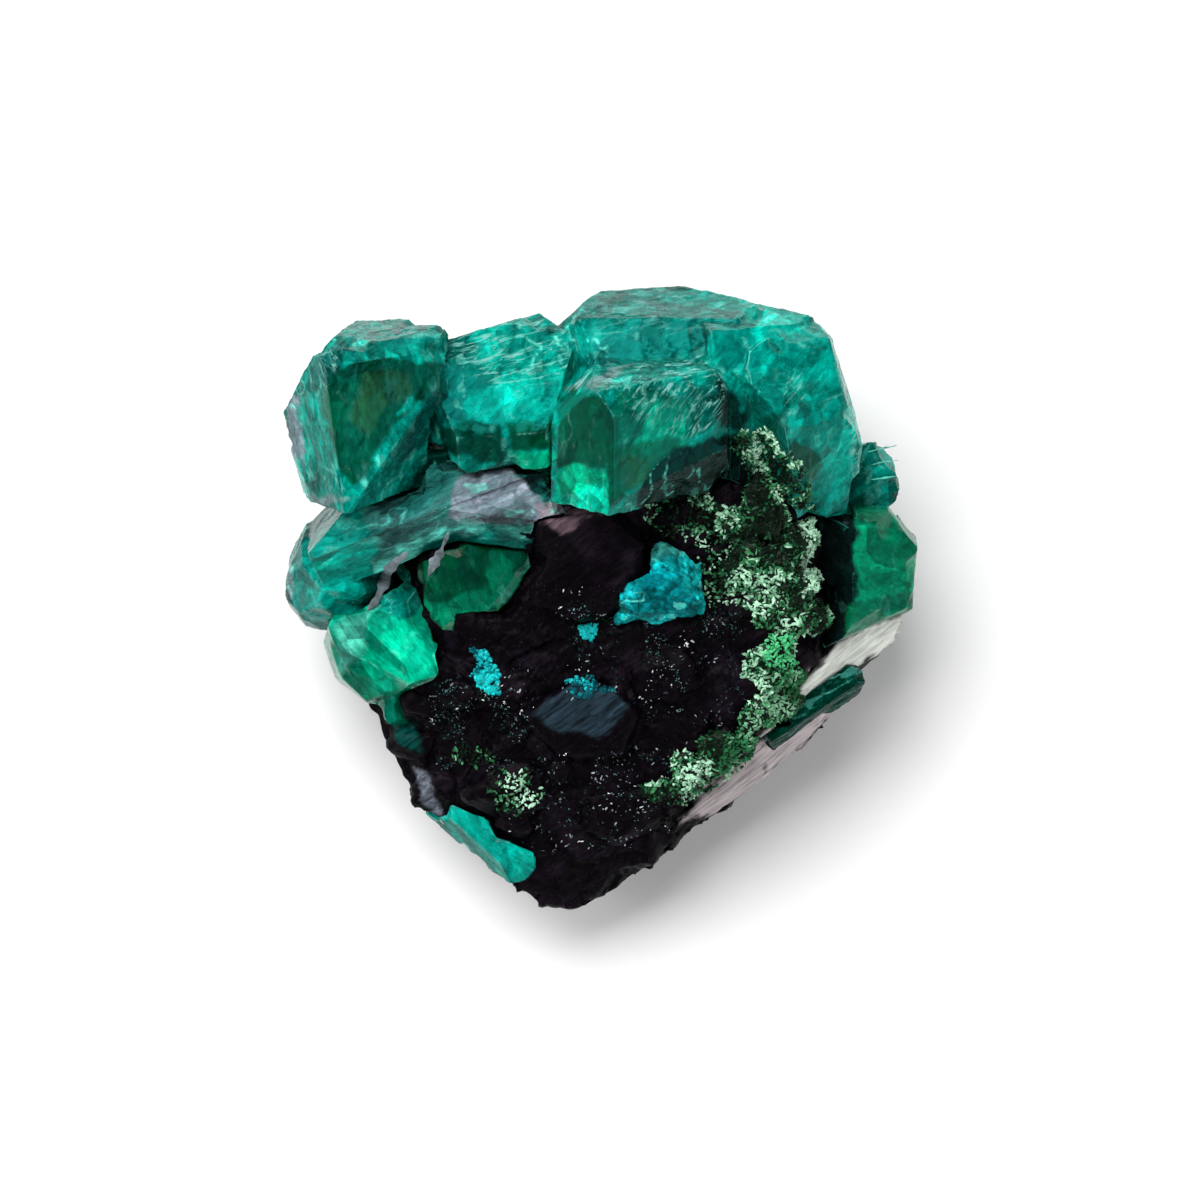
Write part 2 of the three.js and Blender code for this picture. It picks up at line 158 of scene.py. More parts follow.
# splits every edge that is longer than the limit at its middle, again and again: a triangle with one,
# two or three split edges becomes two, three or four
def splitLong(points, triangles, limit):
    while True:
        facing = unit(faceNormals(points, triangles))[:, 2]
        edges = np.sort(triangles[:, [0, 1, 1, 2, 2, 0]].reshape(-1, 2), axis=1).astype(np.int64)
        key, index = np.unique(edges[:, 0] * len(points) + edges[:, 1], return_inverse=True)
        unique = np.stack([key // len(points), key % len(points)], 1)
        upward = np.full(len(unique), -1.0)
        np.maximum.at(upward, index.reshape(-1), np.repeat(facing, 3))
        lengths = np.linalg.norm(points[unique[:, 0]] - points[unique[:, 1]], axis=1)
        long = lengths > limit * np.where(upward > underside["facing"], 1, underside["edgeScale"])
        if not long.any():
            return points, triangles
        number = np.full(len(unique), -1)
        number[long] = len(points) + np.arange(long.sum())
        points = np.concatenate([points, points[unique[long]].mean(axis=1)])
        middle = number[index.reshape(-1)].reshape(-1, 3)
        lengthOf = np.where(middle >= 0, lengths[index.reshape(-1)].reshape(-1, 3), -1)
        turn = np.argmax(lengthOf, axis=1)[:, None]
        order = (turn + np.arange(3)) % 3
        a, b, c = np.take_along_axis(triangles, order, 1).T
        ab, bc, ca = np.take_along_axis(middle, order, 1).T
        kept = ab < 0
        halved = (ab >= 0) & (bc < 0) & (ca < 0)
        onlyNext = (ab >= 0) & (bc >= 0) & (ca < 0)
        onlyLast = (ab >= 0) & (bc < 0) & (ca >= 0)
        every = (ab >= 0) & (bc >= 0) & (ca >= 0)

        def three(which, *names):
            return np.stack([n[which] for n in names], 1)

        triangles = np.concatenate([
            triangles[kept],
            three(halved, a, ab, c), three(halved, ab, b, c),
            three(onlyNext, a, ab, c), three(onlyNext, ab, bc, c), three(onlyNext, ab, b, bc),
            three(onlyLast, a, ab, ca), three(onlyLast, ab, c, ca), three(onlyLast, ab, b, c),
            three(every, a, ab, ca), three(every, ab, b, bc), three(every, bc, c, ca),
            three(every, ab, bc, ca),
        ])


# each corner's normal: the sum of the normals of the triangles round it, by area
def cornerNormals(points, triangles):
    flat = faceNormals(points, triangles)
    return unit(np.stack([
        np.bincount(triangles.reshape(-1), np.repeat(flat[:, k], 3), len(points)) for k in range(3)
    ], 1))


# moves each corner half way to the mean of its neighbours, which rounds edges and leaves flat faces
def roundEdges(points, triangles, rounds):
    halfWay = 0.5
    ends = triangles[:, [0, 1, 1, 2, 2, 0, 1, 0, 2, 1, 0, 2]].reshape(-1, 2)
    count = np.bincount(ends[:, 0], minlength=len(points))[:, None]
    for _ in range(rounds):
        total = np.stack([
            np.bincount(ends[:, 0], points[ends[:, 1], k], len(points)) for k in range(3)
        ], 1)
        points = points + halfWay * (total / count - points)
    return points


# how far inside a convex outline of the picture a point lies, as 1 inside, 0 outside, blurred, with the
# edge pushed in and out by the given amounts
def insideOutline(points, outline, blur, push):
    corners = fromPicture(outline)
    nextCorners = np.roll(corners, -1, axis=0)
    along = nextCorners - corners
    turn = np.sign(np.sum(corners[:, 0] * nextCorners[:, 1] - corners[:, 1] * nextCorners[:, 0]))
    outward = unit(turn * np.stack([along[:, 1], -along[:, 0]], 1))
    distance = np.max((points[:, None, :2] - corners) * outward @ np.ones(2), axis=1)
    return ramp(-distance - push, -blur, blur)


# a mesh of triangles with its tones and other values at the corners, riding on the one body
def makePiece(name, points, triangles, material, attributes, smooth=True):
    mesh = bpy.data.meshes.new(name)
    mesh.vertices.add(len(points))
    mesh.vertices.foreach_set("co", (points * millimetre).astype(np.float32).ravel())
    mesh.loops.add(triangles.size)
    mesh.loops.foreach_set("vertex_index", triangles.astype(np.int32).ravel())
    mesh.polygons.add(len(triangles))
    mesh.polygons.foreach_set("loop_start", np.arange(0, triangles.size, 3, dtype=np.int32))
    mesh.polygons.foreach_set("use_smooth", np.full(len(triangles), smooth))
    mesh.update(calc_edges=True)
    for label, values in attributes.items():
        if values.ndim == 2:
            layer = mesh.attributes.new(label, "FLOAT_COLOR", "POINT")
            filled = np.concatenate([values, np.ones((len(values), 1))], 1)
            layer.data.foreach_set("color", filled.astype(np.float32).ravel())
        else:
            layer = mesh.attributes.new(label, "FLOAT", "POINT")
            layer.data.foreach_set("value", values.astype(np.float32))
    mesh.materials.append(material)
    piece = bpy.data.objects.new(name, mesh)
    bpy.context.scene.collection.objects.link(piece)
    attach(piece, "root")
    print(f"{name}: {len(triangles)} triangles")
    return piece


# node helpers: each adds one node and returns it or what it gives
def addNode(material, kind, inputs=None, **settings):
    node = material.node_tree.nodes.new(kind)
    for key, value in settings.items():
        setattr(node, key, value)
    for key, value in (inputs or {}).items():
        if isinstance(value, bpy.types.NodeSocket):
            material.node_tree.links.new(value, node.inputs[key])
        else:
            node.inputs[key].default_value = value
    return node


def newMaterial(name):
    material = bpy.data.materials.new(name)
    material.use_nodes = True
    shader = material.node_tree.nodes["Principled BSDF"]
    return material, shader


def objectPlace(material):
    return addNode(material, "ShaderNodeTexCoord").outputs["Object"]


# a value that the mesh carries at its corners
def fromMesh(material, label, output="Fac"):
    return addNode(material, "ShaderNodeAttribute", attribute_name=label).outputs[output]


def noiseFactor(material, place, scale, detail=4.0, roughness=0.6, distortion=0.0):
    node = addNode(material, "ShaderNodeTexNoise",
                   {"Vector": place, "Scale": scale, "Detail": detail, "Roughness": roughness,
                    "Distortion": distortion})
    return node.outputs["Fac"]


noiseSpread = (0.35, 0.65)  # most of a noise lies between these
fullSpan = (0.0, 1.0)


def remap(material, value, span, result):
    node = addNode(material, "ShaderNodeMapRange",
                   {"Value": value, "From Min": span[0], "From Max": span[1],
                    "To Min": result[0], "To Max": result[1]})
    return node.outputs["Result"]


def multiply(material, first, second):
    return addNode(material, "ShaderNodeMath", {0: first, 1: second}, operation="MULTIPLY").outputs[0]


def mixValue(material, factor, first, second):
    return addNode(material, "ShaderNodeMix", {0: factor, 2: first, 3: second}, data_type="FLOAT").outputs[0]


def mixColour(material, factor, first, second, blendType="MIX"):
    node = addNode(material, "ShaderNodeMix", {0: factor, 6: first, 7: second},
                   data_type="RGBA", blend_type=blendType)
    return node.outputs[2]


# straight-edged cells of painted light and shade, each with its own lightness between low and high
def cellPaintedShading(material, place, lowHigh):
    cells = addNode(material, "ShaderNodeTexVoronoi", {"Vector": place, "Scale": 1.0})
    parts = addNode(material, "ShaderNodeSeparateColor", {"Color": cells.outputs["Color"]})
    return remap(material, parts.outputs[0], fullSpan, lowHigh)


def stretched(material, place, scale, rotation=(0, 0, 0)):
    node = addNode(material, "ShaderNodeMapping",
                   {"Vector": place, "Scale": tuple(1 / k for k in scale),
                    "Rotation": tuple(math.radians(a) for a in rotation)}, vector_type="TEXTURE")
    return node.outputs["Vector"]


def feed(material, shader, **inputs):
    for key, value in inputs.items():
        material.node_tree.links.new(value, shader.inputs[key.replace("_", " ")])


# the green crystal: tone, clearness, frost and the streaks' way come from the mesh, the rest from noise.
# scales are cells to a metre, and pairs are a low and a high end
crystalFinish = {
    "ior": 1.66, "specular": 0.12, "sheenTint": (0.03, 0.7, 0.6, 1.0),
    "absorbDensity": 2200.0, "absorbColour": (0.0, 0.935, 0.88, 1.0),
    "roughness": (0.3, 0.04), "transmission": (0.05, 0.97),  # from cloudy to clear
    "streakScale": (3600, 600, 2200), "acrossTurn": -75, "streakLight": (0.72, 1.3),
    "cloudScale": 1500.0, "cloudLight": (0.7, 1.3),
    # plane values: straight-edged cells of painted light and shade, their scales and lightness spans
    "planes": [((480, 240, 420), (0.5, 1.55)), ((1300, 620, 1100), (0.65, 1.35))],
    "frostFrom": (0.53, 0.63), "frostColour": (0.2, 0.5, 0.45, 1.0),
    "fineScale": (9000, 2600, 6000), "bumpStrength": 0.25, "bumpDepth": 0.00006,
    # spark values: pale glints painted into the colour where fine noise, clouds and the tone's green are high
    "paintedSparkFrom": (0.63, 0.7), "paintedSparkCloud": (0.48, 0.58), "paintedSparkTone": (0.02, 0.15), "paintedSparkMost": 0.75,
    "paintedSparkColour": (0.1, 0.75, 0.66, 1.0),
}


def crystalMaterial(name, streakTurn):
    look = crystalFinish
    material, shader = newMaterial(name)
    place = objectPlace(material)
    tone = fromMesh(material, "tone", "Color")
    clear = fromMesh(material, "clear")
    turn = (0, 0, streakTurn)
    streakWays = [
        noiseFactor(material, stretched(material, place, look["streakScale"], way), 1.0,
                    detail=6.0, roughness=0.7, distortion=0.9)
        for way in (turn, (0, 0, look["acrossTurn"]))
    ]
    streaks = mixValue(material, fromMesh(material, "across"), *streakWays)
    clouds = noiseFactor(material, place, look["cloudScale"], detail=6.0, roughness=0.65, distortion=0.6)
    cloudLight = remap(material, clouds, noiseSpread, look["cloudLight"])
    light = multiply(material, remap(material, streaks, noiseSpread, look["streakLight"]), cloudLight)
    # painted light and shade: flat straight-edged patches, as if inner planes caught the light
    planes = [cellPaintedShading(material, stretched(material, place, scale, turn), lowHigh)
              for scale, lowHigh in look["planes"]]
    light = multiply(material, light, multiply(material, *planes))
    toned = mixColour(material, 1.0, tone, light, "MULTIPLY")
    frost = multiply(material, fromMesh(material, "frost"),
                     remap(material, streaks, look["frostFrom"], fullSpan))
    toned = mixColour(material, frost, toned, look["frostColour"])
    fine = noiseFactor(material, stretched(material, place, look["fineScale"], turn), 1.0, roughness=0.7)
    lit = addNode(material, "ShaderNodeSeparateColor", {"Color": tone}).outputs[1]
    # painted glints: pale spots where the fine noise is high, in clouds, on the lighter tones
    paintedSparkPlace = multiply(material, remap(material, clouds, look["paintedSparkCloud"], fullSpan),
                          remap(material, lit, look["paintedSparkTone"], fullSpan))
    paintedSparks = remap(material, fine, look["paintedSparkFrom"], (0.0, look["paintedSparkMost"]))
    paintedSparks = multiply(material, paintedSparks, paintedSparkPlace)
    toned = mixColour(material, paintedSparks, toned, look["paintedSparkColour"])
    roughness = multiply(material, cloudLight, remap(material, clear, fullSpan, look["roughness"]))
    bump = addNode(material, "ShaderNodeBump",
                   {"Height": fine, "Strength": look["bumpStrength"], "Distance": look["bumpDepth"]})
    feed(material, shader, Base_Color=toned, Roughness=roughness, Normal=bump.outputs["Normal"],
         Transmission_Weight=remap(material, clear, fullSpan, look["transmission"]))
    shader.inputs["IOR"].default_value = look["ior"]
    shader.inputs["Specular IOR Level"].default_value = look["specular"]
    shader.inputs["Specular Tint"].default_value = look["sheenTint"]
    absorb = addNode(material, "ShaderNodeVolumeAbsorption",
                     {"Color": look["absorbColour"], "Density": look["absorbDensity"]})
    output = material.node_tree.nodes["Material Output"]
    material.node_tree.links.new(absorb.outputs[0], output.inputs["Volume"])
    return material


tones = {
    "teal": tint("009280"), "midTeal": tint("00786a"), "deepTeal": tint("004a44"), "paleTeal": tint("5ad0be"),
    "brightTeal": tint("00b8a2"), "bright": tint("00b080"), "emerald": tint("007c55"), "deep": tint("004c28"),
    "forest": tint("002a1a"), "brown": tint("174a0c"), "black": tint("030606"), "grey": tint("7c8a90"),
    "greyTeal": tint("3c6a6a"), "lilac": tint("6d7480"), "blue": tint("008e96"), "deepBlue": tint("004a55"),
    "rock": tint("060307"), "rockLight": tint("140d16"), "slate": tint("1f2e38"), "ash": tint("e2e6de"),
    "pinkAsh": tint("b8aeb0"), "pinkRock": tint("7d6570"), "mint": tint("b4e2c4"), "leaf": tint("2c7a4a"),
    # the near-white last tone is painted glint colour for the rock flakes
    "shadeLeaf": tint("06180c"), "spring": tint("52c886"), "cyan": tint("14c0c0"), "paintedGlintWhite": tint("e2e6e6"),
}


# the crystals' looks. edge: longest mesh edge in mm. axis: the way the small plates run. streakTurn: degrees
# from up the picture to the fine streaks. chips: bits broken off the edges. zones: a tone or frost, a
# clearness, how strongly they show, and an outline on the picture
crystalPieces = {
    "dioptase_upper_left": {
        "edge": 0.18, "axis": (-0.12, 0.95, 0.28), "streakTurn": 24, "tones": ("midTeal", "teal"),
        "clear": 0.2, "chips": 55, "chipReach": 2.2, "seed": 11,
        "zones": [
            ("deepTeal", 0.2, 0.5, [(335, 345), (345, 318), (440, 318), (446, 352)]),
            ("deepTeal", 0.3, 0.9, [(294, 400), (339, 340), (352, 352), (340, 372), (322, 398)]),
            ("frost", 0.2, 0.8, [(296, 398), (335, 345), (345, 352), (322, 398)]),
            ("deepTeal", 0.3, 0.9, [(429, 376), (448, 372), (452, 406), (425, 452), (387, 483), (372, 478),
                                    (395, 439), (416, 416)]),
            ("deep", 0.8, 1.0, [(325, 395), (339, 381), (358, 364), (387, 358), (416, 362), (435, 372),
                                (432, 397), (370, 473), (354, 495), (343, 468), (333, 447), (325, 422)]),
            # painted shade: a dark patch at the crystal's right
            ("forest", 0.7, 0.8, [(415, 366), (446, 368), (446, 394), (424, 400)]),
            ("brown", 0.8, 0.45, [(368, 372), (410, 376), (412, 392), (372, 440), (352, 420)]),
            ("midTeal", 0.05, 1.0, [(302, 408), (322, 406), (326, 422), (337, 456), (349, 496), (312, 498),
                                    (303, 468)]),
            ("lilac", 0.0, 0.8, [(286, 404), (302, 398), (302, 462), (288, 460)]),
            ("grey", 0.0, 0.8, [(308, 497), (356, 500), (324, 513)]),
            ("brightTeal", 0.0, 0.9, [(396, 416), (413, 405), (414, 410), (399, 422)]),
            ("brightTeal", 0.0, 0.9, [(386, 440), (396, 418), (400, 422), (379, 462), (374, 460)]),
        ],
    },
    "dioptase_crown": {
        "edge": 0.225, "axis": (0.05, 0.9, 0.42), "streakTurn": -38, "tones": ("midTeal", "teal"),
        "clear": 0.2, "chips": 180, "chipReach": 2.2, "seed": 23,
        "zones": [
            ("deepTeal", 0.2, 0.6, [(441, 345), (470, 335), (500, 400), (470, 425), (440, 400)]),
            ("frostAcross", 0.1, 1.0, [(441, 345), (529, 320), (563, 335), (567, 372), (521, 397), (500, 390),
                                       (455, 372)]),
            ("brightTeal", 0.2, 0.5, [(469, 392), (510, 388), (521, 406), (489, 427), (458, 418)]),
            ("deepTeal", 0.3, 0.8, [(438, 372), (458, 385), (462, 420), (438, 430)]),
            # painted shade: a dark band low on the crown's left crystal
            ("forest", 0.3, 0.95, [(440, 428), (502, 424), (514, 450), (500, 466), (440, 455)]),
            ("deep", 0.7, 1.0, [(506, 425), (556, 420), (556, 452), (514, 454)]),
            # painted glow: a bright window at the lower end, where light comes through the crystal
            ("bright", 0.3, 1.0, [(514, 455), (557, 453), (557, 476), (520, 476)]),
            ("deepTeal", 0.2, 0.5, [(575, 330), (600, 300), (650, 284), (740, 296), (745, 325), (690, 330)]),
            ("frostAcross", 0.2, 0.35, [(580, 310), (650, 288), (720, 300), (740, 330), (600, 345)]),
            ("deepTeal", 0.4, 0.8, [(572, 374), (623, 330), (704, 322), (708, 362), (647, 366), (610, 371)]),
            ("midTeal", 0.4, 0.9, [(706, 316), (738, 305), (762, 345), (758, 385), (720, 372)]),
            ("teal", 0.2, 0.9, [(756, 330), (842, 345), (862, 420), (868, 490), (830, 505), (790, 470),
                                (762, 400)]),
            ("brightTeal", 0.25, 0.8, [(738, 303), (770, 306), (817, 329), (846, 350), (850, 385), (800, 395),
                                       (758, 350)]),
            ("brightTeal", 0.2, 0.6, [(800, 395), (848, 400), (862, 470), (836, 490), (812, 440)]),
            ("frost", 0.1, 0.9, [(612, 384), (680, 358), (722, 386), (722, 420), (690, 444), (635, 425)]),
            ("brightTeal", 0.2, 0.5, [(618, 384), (680, 362), (718, 386), (720, 410), (690, 432),
                                      (640, 415)]),
            ("emerald", 0.4, 0.65, [(610, 396), (650, 384), (690, 410), (700, 440), (640, 472), (612, 452)]),
            ("grey", 0.0, 0.6, [(564, 391), (633, 362), (641, 368), (571, 397)]),
            ("frostAcross", 0.0, 0.9, [(560, 396), (640, 362), (704, 358), (728, 385), (700, 384),
                                       (620, 392)]),
            ("deep", 0.75, 1.0, [(556, 397), (611, 392), (618, 438), (606, 472), (556, 470)]),
            ("paleTeal", 0.0, 0.8, [(605, 402), (611, 401), (615, 420), (610, 422)]),
            ("deep", 0.6, 0.95, [(604, 452), (692, 440), (660, 470), (636, 508), (604, 508)]),
            # painted glow: a brownish glow low on the middle crystal
            ("brown", 0.6, 0.5, [(622, 464), (655, 460), (650, 492), (626, 496)]),
            # painted shade: the middle crystal's lower right face in shadow
            ("black", 0.15, 1.0, [(655, 464), (690, 446), (742, 428), (752, 505), (690, 520), (636, 520),
                                  (634, 496)]),
            # painted glow: light coming through at the middle crystal's foot, in these two zones
            ("bright", 0.15, 1.0, [(552, 474), (606, 472), (608, 520), (552, 520)]),
            ("brightTeal", 0.1, 0.5, [(552, 492), (606, 490), (608, 520), (552, 520)]),
            # painted shade: the gap between two crystals of the crown
            ("black", 0.2, 0.95, [(720, 384), (736, 393), (754, 423), (740, 442), (720, 430)]),
            ("forest", 0.6, 0.7, [(752, 420), (782, 418), (818, 468), (808, 490), (784, 482)]),
            ("brown", 0.6, 0.5, [(776, 436), (790, 432), (817, 468), (808, 484)]),
            ("frost", 0.0, 1.0, [(842, 410), (852, 408), (866, 472), (858, 478)]),
            ("frost", 0.0, 0.8, [(780, 380), (800, 372), (806, 400), (790, 420)]),
        ],
    },
    "dioptase_left_ledge": {
        "edge": 0.19, "axis": (0.93, 0.36, 0.1), "streakTurn": -66, "tones": ("deepTeal", "midTeal"),
        "clear": 0.3, "chips": 60, "rimPaintedHighlight": 0.2, "seed": 37,
        "zones": [
            ("teal", 0.3, 0.7, [(300, 560), (318, 530), (372, 508), (384, 540), (352, 600), (322, 616)]),
            ("greyTeal", 0.0, 0.7, [(364, 512), (448, 450), (472, 470), (436, 530), (388, 562)]),
            ("deepTeal", 0.0, 0.6, [(400, 500), (448, 452), (470, 456), (440, 500), (410, 520)]),
            ("greyTeal", 0.0, 0.85, [(374, 556), (470, 508), (548, 500), (548, 536), (466, 536), (380, 574)]),
            ("lilac", 0.0, 1.0, [(462, 480), (482, 454), (518, 446), (536, 470), (544, 506), (540, 527),
                                 (466, 527), (448, 520)]),
            ("black", 0.1, 1.0, [(516, 470), (562, 468), (562, 500), (532, 498)]),
            ("pinkRock", 0.0, 0.7, [(538, 506), (612, 496), (612, 514), (548, 534)]),
            ("paleTeal", 0.0, 0.6, [(374, 562), (462, 523), (467, 529), (377, 571)]),
            ("paleTeal", 0.0, 0.6, [(463, 524), (542, 528), (546, 536), (467, 533)]),
            ("forest", 0.3, 0.9, [(284, 592), (296, 600), (322, 618), (356, 596), (366, 575), (368, 605),
                                  (340, 640), (318, 645)]),
            ("grey", 0.0, 0.6, [(278, 560), (291, 556), (291, 600), (280, 596)]),
            ("brightTeal", 0.0, 0.7, [(312, 564), (350, 564), (350, 574), (312, 574)]),
        ],
    },
    "dioptase_lower_left": {
        "edge": 0.16, "axis": (-0.35, -0.6, 0.72), "streakTurn": 40, "tones": ("emerald", "bright"),
        "clear": 0.45, "chips": 30, "plates": 0.4, "seed": 41,
        "zones": [
            ("deepTeal", 0.2, 0.9, [(366, 600), (380, 570), (410, 552), (432, 560), (428, 600), (400, 624)]),
            ("paleTeal", 0.1, 0.45, [(331, 624), (377, 610), (364, 647), (341, 676)]),
            ("bright", 0.3, 0.6, [(360, 650), (398, 656), (412, 690), (372, 690)]),
        ],
    },
    "dioptase_inner": {
        "edge": 0.15, "axis": (0.15, -0.25, 0.95), "streakTurn": 15, "tones": ("forest", "deep"),
        "clear": 0.15, "chips": 20, "rimPaintedHighlight": 0.0, "plates": 0.25, "seed": 43,
        "zones": [
            ("emerald", 0.2, 0.55, [(492, 552), (534, 540), (532, 598), (494, 606)]),
            ("emerald", 0.2, 0.7, [(424, 604), (486, 590), (500, 612), (440, 634), (422, 624)]),
        ],
    },
    "dioptase_center": {
        "edge": 0.13, "axis": (0.1, -0.3, 0.95), "streakTurn": 60, "tones": ("blue", "cyan"),
        "clear": 0.05, "chips": 12, "rounds": 14, "lumps": 0.32, "rimPaintedHighlight": 0.1, "seed": 47,
        "zones": [
            # painted shade: the lower part darker
            ("deepBlue", 0.0, 0.7, [(626, 586), (655, 574), (700, 588), (700, 615), (612, 615)]),
            # painted light: a pale patch on the top
            ("paleTeal", 0.0, 0.5, [(640, 548), (668, 536), (690, 540), (686, 556), (650, 562)]),
        ],
    },
    "dioptase_right": {
        "edge": 0.18, "axis": (0.05, 0.98, 0.2), "streakTurn": 70, "tones": ("emerald", "emerald"),
        "clear": 0.12, "chips": 40, "plates": 0.3, "rimPaintedHighlight": 0.2, "seed": 53,
        "zones": [
            ("midTeal", 0.4, 0.9, [(862, 430), (905, 430), (905, 505), (862, 500)]),
            # painted shade: the left face, which turns away from the light
            ("black", 0.15, 1.0, [(810, 508), (842, 500), (856, 524), (855, 605), (845, 660), (810, 660)]),
            ("deep", 0.4, 0.85, [(850, 606), (914, 590), (916, 610), (860, 640), (838, 656)]),
        ],
    },
    "dioptase_splinter": {
        "edge": 0.15, "axis": (0.82, 0.56, -0.13), "streakTurn": -56, "tones": ("forest", "forest"),
        "clear": 0.05, "chips": 14, "rimPaintedHighlight": 0.2, "seed": 59, "zones": [],
    },
    "dioptase_foot": {
        "edge": 0.15, "axis": (0.73, -0.66, 0.15), "streakTurn": 42, "tones": ("midTeal", "teal"),
        "clear": 0.25, "chips": 20, "plates": 0.4, "rimPaintedHighlight": 0.2, "seed": 61, "zones": [],
    },
}
zoneEdge = {"blur": 0.16, "raggedness": 0.8, "ragSize": 1.6, "facing": (-0.3, 0.0)}


# tones, clearness and frost over a piece: each zone is laid over what is there, on faces that look up;
# frostAcross is frost whose streaks run the piece's other way
def paintZones(points, facing, tone, clear, zones, seed):
    push = zoneEdge["raggedness"] * layeredNoise(points, zoneEdge["ragSize"], seed)
    seen = ramp(facing, *zoneEdge["facing"])
    marks = {"frost": np.zeros(len(points)), "across": np.zeros(len(points))}
    for label, zoneClear, amount, outline in zones:
        inside = insideOutline(points, outline, zoneEdge["blur"], push) * seen
        share = inside * amount
        if label in tones:
            tone = blend(tone, tones[label], share[:, None])
        else:
            marks["frost"] = np.maximum(marks["frost"], share)
        if label == "frostAcross":
            marks["across"] = np.maximum(marks["across"], inside)
        clear = blend(clear, zoneClear, share)
    return tone, clear, marks


# the chips: how far the broken plane leans, reaches as shares of the longest, depths as shares of the reach
chipLook = {"lean": 0.3, "reaches": (0.2, 1.0), "mostlySmall": 1.5, "depths": (0.08, 0.2),
            "fade": (0.0, 0.35), "offEdge": 1e-9}


# bits broken off the edges: near each chosen corner, what stands above a plane a little under the corner
# is pressed down to the plane, and that fades out at the chip's reach
def chipEdges(points, triangles, rim, count, reach, seed):
    random = np.random.default_rng(seed)
    normals = cornerNormals(points, triangles)
    sharpness = rim + chipLook["offEdge"]
    chosen = random.choice(len(points), count, p=sharpness / sharpness.sum())
    ways = unit(normals[chosen] + random.normal(0, chipLook["lean"], (count, 3)))
    reaches = reach * random.uniform(*chipLook["reaches"], count) ** chipLook["mostlySmall"]
    depths = reaches * random.uniform(*chipLook["depths"], count)
    moved = points.copy()
    for corner, way, size, depth in zip(points[chosen], ways, reaches, depths):
        near = np.flatnonzero(np.max(np.abs(moved - corner), axis=1) < size)
        offset = moved[near] - corner
        fade = ramp(1 - np.linalg.norm(offset, axis=1) / size, *chipLook["fade"])
        above = np.maximum(offset @ way + depth, 0) * fade
        moved[near] -= above[:, None] * way
    return moved


# how the crystals' faces break up where a piece doesn't say otherwise. sizes and depths are in mm, tilts,
# lights, painted sheens and highlights and pale amounts are shares, pairs are noise levels where a mark
# starts and is full
crystalFaces = {
    "rounds": 3, "rimDepths": (0.005, 0.04), "chipReach": 2.6,
    # rim values: how strongly the edges are painted pale as highlights, in patches of the given size and
    # noise levels
    "rimPaintedHighlight": 0.5, "rimHighlightSize": 1.1, "rimHighlightPatch": (0.0, 0.3),
    "cloudSize": 3.0, "clearSize": 2.0, "clearSpread": 0.3, "leastClear": 0.02, "clearPlates": 0.85,
    "plates": 1.0, "plateStretch": 0.62, "wobble": 0.25, "wobbleSize": 0.9,
    # plate lightness values: each plate's lightness is painted as if it caught the light differently
    "plateSize": 1.0, "plateTilt": 0.14, "platePaintedSheen": 0.6,
    "fineSize": 0.42, "fineTilt": 0.12, "finePaintedSheen": 0.5,
    "terraceSize": 3.2, "terraces": 7, "riser": (0.75, 1.0), "terraceRise": 0.2, "sink": 0.03,
    "lumpRise": 0.45, "lumpRound": 0.5, "lumpLight": (0.35, 1.1), "light": 0.8,
    "fleckFrom": 0.95, "fleckPale": 0.35, "crackSize": 1.5, "crackWidth": 0.035, "crackPale": 0.7,
    "crackPatchSize": 2.4, "crackPatch": (0.05, 0.25), "tintLoss": 0.5,
}


# the CAD faces split fine, with edges rounded and chipped; rim is 1 on an edge and 0 on a face
def roughCrystal(name, look):
    points, triangles = splitLong(*readNode(name), look["edge"])
    rounded = roundEdges(points, triangles, look["rounds"])
    inward = -np.sum((rounded - points) * cornerNormals(points, triangles), axis=1)
    rim = ramp(inward, *look["rimDepths"])
    return chipEdges(rounded, triangles, rim, look["chips"], look["chipReach"], look["seed"]), triangles, rim


# steps in a noise: flat terraces with a short rise from each to the next
def terraced(points, look):
    steps = layeredNoise(points, look["terraceSize"], look["seed"] + 10) * look["terraces"]
    return (np.floor(steps) + ramp(steps - np.floor(steps), *look["riser"])) / look["terraces"]


# pale cracks where a noise is near zero, in patches
def crackLines(points, along, look):
    near = np.abs(layeredNoise(along, look["crackSize"], look["seed"] + 75, 3))
    patches = ramp(layeredNoise(points, look["crackPatchSize"], look["seed"] + 77, 2), *look["crackPatch"])
    return (1 - ramp(near, 0.0, look["crackWidth"])) * patches * look["crackPale"]
